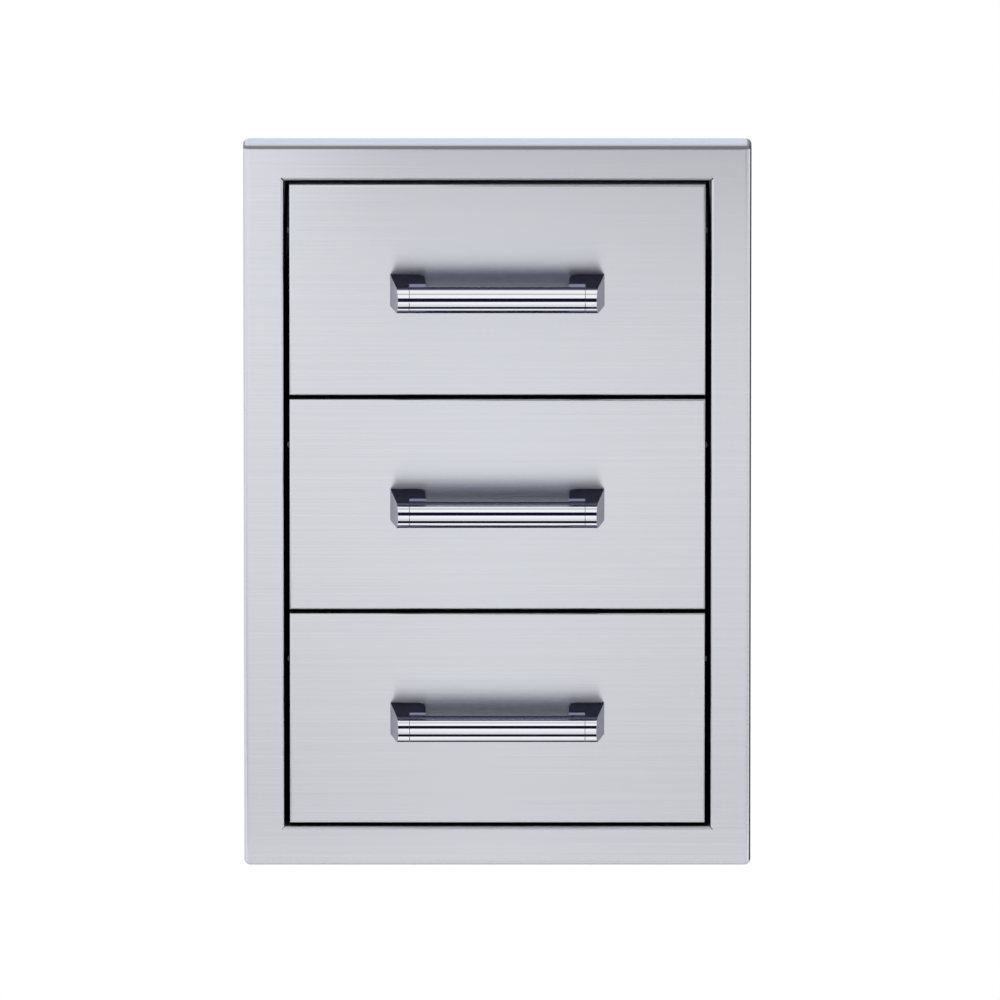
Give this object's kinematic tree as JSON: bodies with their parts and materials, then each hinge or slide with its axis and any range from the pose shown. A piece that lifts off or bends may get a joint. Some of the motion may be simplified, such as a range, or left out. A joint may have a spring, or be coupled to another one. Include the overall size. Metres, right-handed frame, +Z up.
{
  "type": "outdoor kitchen drawer unit",
  "caption": "Built-in stainless drawer unit for an outdoor kitchen island, with flush fronts in a trim frame, round bar handles and full-extension ball-bearing slides.",
  "frame": {"origin": "middle of the cabinet's underside, in the plane of the trim frame's back edge, which bears on the face of the island", "axes": "+Y into the island, +Z up, +X to the right of someone facing the drawers; the drawers open along -Y"},
  "size_m": [0.4318, 0.5048, 0.63],
  "materials": {
    "brushed_stainless": "304 stainless sheet with a fine level brushed grain",
    "polished_chrome": "mirror-polished plated bar and cast brackets, with satin end facets",
    "zinc_plated_steel": "bright zinc-plated rolled steel",
    "rivet_steel": "bare stainless rivets and screws",
    "rubber": "matt black moulded rubber"
  },
  "bodies": {
    "cabinet": {"face_frame": "brushed_stainless", "left_side_panel": "brushed_stainless", "right_side_panel": "brushed_stainless", "top_panel": "brushed_stainless", "bottom_panel": "brushed_stainless", "rear_panel": "brushed_stainless", "rear_buffers": "rubber", "cabinet_rivets": "rivet_steel", "top_left_slide_outer": "zinc_plated_steel", "top_right_slide_outer": "zinc_plated_steel", "middle_left_slide_outer": "zinc_plated_steel", "middle_right_slide_outer": "zinc_plated_steel", "bottom_left_slide_outer": "zinc_plated_steel", "bottom_right_slide_outer": "zinc_plated_steel"},
    "top_drawer": {"top_drawer_skin": "brushed_stainless", "top_drawer_liner": "brushed_stainless", "top_drawer_tub": "brushed_stainless", "top_drawer_rivets": "rivet_steel", "top_handle_bar": "polished_chrome", "top_handle_left_bracket": "polished_chrome", "top_handle_right_bracket": "polished_chrome", "top_handle_screws": "rivet_steel", "top_left_slide_inner": "zinc_plated_steel", "top_right_slide_inner": "zinc_plated_steel", "top_slide_rivets": "rivet_steel"},
    "top_runner": {"top_left_slide_middle": "zinc_plated_steel", "top_right_slide_middle": "zinc_plated_steel"},
    "top_outer_ball_cages": {"top_slide_outer_cages": "zinc_plated_steel"},
    "top_inner_ball_cages": {"top_slide_inner_cages": "zinc_plated_steel"},
    "middle_drawer": {"middle_drawer_skin": "brushed_stainless", "middle_drawer_liner": "brushed_stainless", "middle_drawer_tub": "brushed_stainless", "middle_drawer_rivets": "rivet_steel", "middle_handle_bar": "polished_chrome", "middle_handle_left_bracket": "polished_chrome", "middle_handle_right_bracket": "polished_chrome", "middle_handle_screws": "rivet_steel", "middle_left_slide_inner": "zinc_plated_steel", "middle_right_slide_inner": "zinc_plated_steel", "middle_slide_rivets": "rivet_steel"},
    "middle_runner": {"middle_left_slide_middle": "zinc_plated_steel", "middle_right_slide_middle": "zinc_plated_steel"},
    "middle_outer_ball_cages": {"middle_slide_outer_cages": "zinc_plated_steel"},
    "middle_inner_ball_cages": {"middle_slide_inner_cages": "zinc_plated_steel"},
    "bottom_drawer": {"bottom_drawer_skin": "brushed_stainless", "bottom_drawer_liner": "brushed_stainless", "bottom_drawer_tub": "brushed_stainless", "bottom_drawer_rivets": "rivet_steel", "bottom_handle_bar": "polished_chrome", "bottom_handle_left_bracket": "polished_chrome", "bottom_handle_right_bracket": "polished_chrome", "bottom_handle_screws": "rivet_steel", "bottom_left_slide_inner": "zinc_plated_steel", "bottom_right_slide_inner": "zinc_plated_steel", "bottom_slide_rivets": "rivet_steel"},
    "bottom_runner": {"bottom_left_slide_middle": "zinc_plated_steel", "bottom_right_slide_middle": "zinc_plated_steel"},
    "bottom_outer_ball_cages": {"bottom_slide_outer_cages": "zinc_plated_steel"},
    "bottom_inner_ball_cages": {"bottom_slide_inner_cages": "zinc_plated_steel"}
  },
  "joints": [
    {"name": "top_drawer_slide", "type": "slide", "parent": "cabinet", "child": "top_drawer", "axis": [0, -1, 0], "range_m": [0, 0.39]},
    {"name": "top_runner_slide", "type": "slide", "parent": "cabinet", "child": "top_runner", "axis": [0, -1, 0], "range_m": [0, 0.195]},
    {"name": "top_outer_ball_cages_slide", "type": "slide", "parent": "cabinet", "child": "top_outer_ball_cages", "axis": [0, -1, 0], "range_m": [0, 0.0975]},
    {"name": "top_inner_ball_cages_slide", "type": "slide", "parent": "cabinet", "child": "top_inner_ball_cages", "axis": [0, -1, 0], "range_m": [0, 0.2925]},
    {"name": "middle_drawer_slide", "type": "slide", "parent": "cabinet", "child": "middle_drawer", "axis": [0, -1, 0], "range_m": [0, 0.39]},
    {"name": "middle_runner_slide", "type": "slide", "parent": "cabinet", "child": "middle_runner", "axis": [0, -1, 0], "range_m": [0, 0.195]},
    {"name": "middle_outer_ball_cages_slide", "type": "slide", "parent": "cabinet", "child": "middle_outer_ball_cages", "axis": [0, -1, 0], "range_m": [0, 0.0975]},
    {"name": "middle_inner_ball_cages_slide", "type": "slide", "parent": "cabinet", "child": "middle_inner_ball_cages", "axis": [0, -1, 0], "range_m": [0, 0.2925]},
    {"name": "bottom_drawer_slide", "type": "slide", "parent": "cabinet", "child": "bottom_drawer", "axis": [0, -1, 0], "range_m": [0, 0.39]},
    {"name": "bottom_runner_slide", "type": "slide", "parent": "cabinet", "child": "bottom_runner", "axis": [0, -1, 0], "range_m": [0, 0.195]},
    {"name": "bottom_outer_ball_cages_slide", "type": "slide", "parent": "cabinet", "child": "bottom_outer_ball_cages", "axis": [0, -1, 0], "range_m": [0, 0.0975]},
    {"name": "bottom_inner_ball_cages_slide", "type": "slide", "parent": "cabinet", "child": "bottom_inner_ball_cages", "axis": [0, -1, 0], "range_m": [0, 0.2925]}
  ],
  "couplings": [
    {"joint": "top_runner_slide", "follows": "top_drawer_slide", "ratio": 0.5},
    {"joint": "top_outer_ball_cages_slide", "follows": "top_drawer_slide", "ratio": 0.25},
    {"joint": "top_inner_ball_cages_slide", "follows": "top_drawer_slide", "ratio": 0.75},
    {"joint": "middle_runner_slide", "follows": "middle_drawer_slide", "ratio": 0.5},
    {"joint": "middle_outer_ball_cages_slide", "follows": "middle_drawer_slide", "ratio": 0.25},
    {"joint": "middle_inner_ball_cages_slide", "follows": "middle_drawer_slide", "ratio": 0.75},
    {"joint": "bottom_runner_slide", "follows": "bottom_drawer_slide", "ratio": 0.5},
    {"joint": "bottom_outer_ball_cages_slide", "follows": "bottom_drawer_slide", "ratio": 0.25},
    {"joint": "bottom_inner_ball_cages_slide", "follows": "bottom_drawer_slide", "ratio": 0.75}
  ]
}
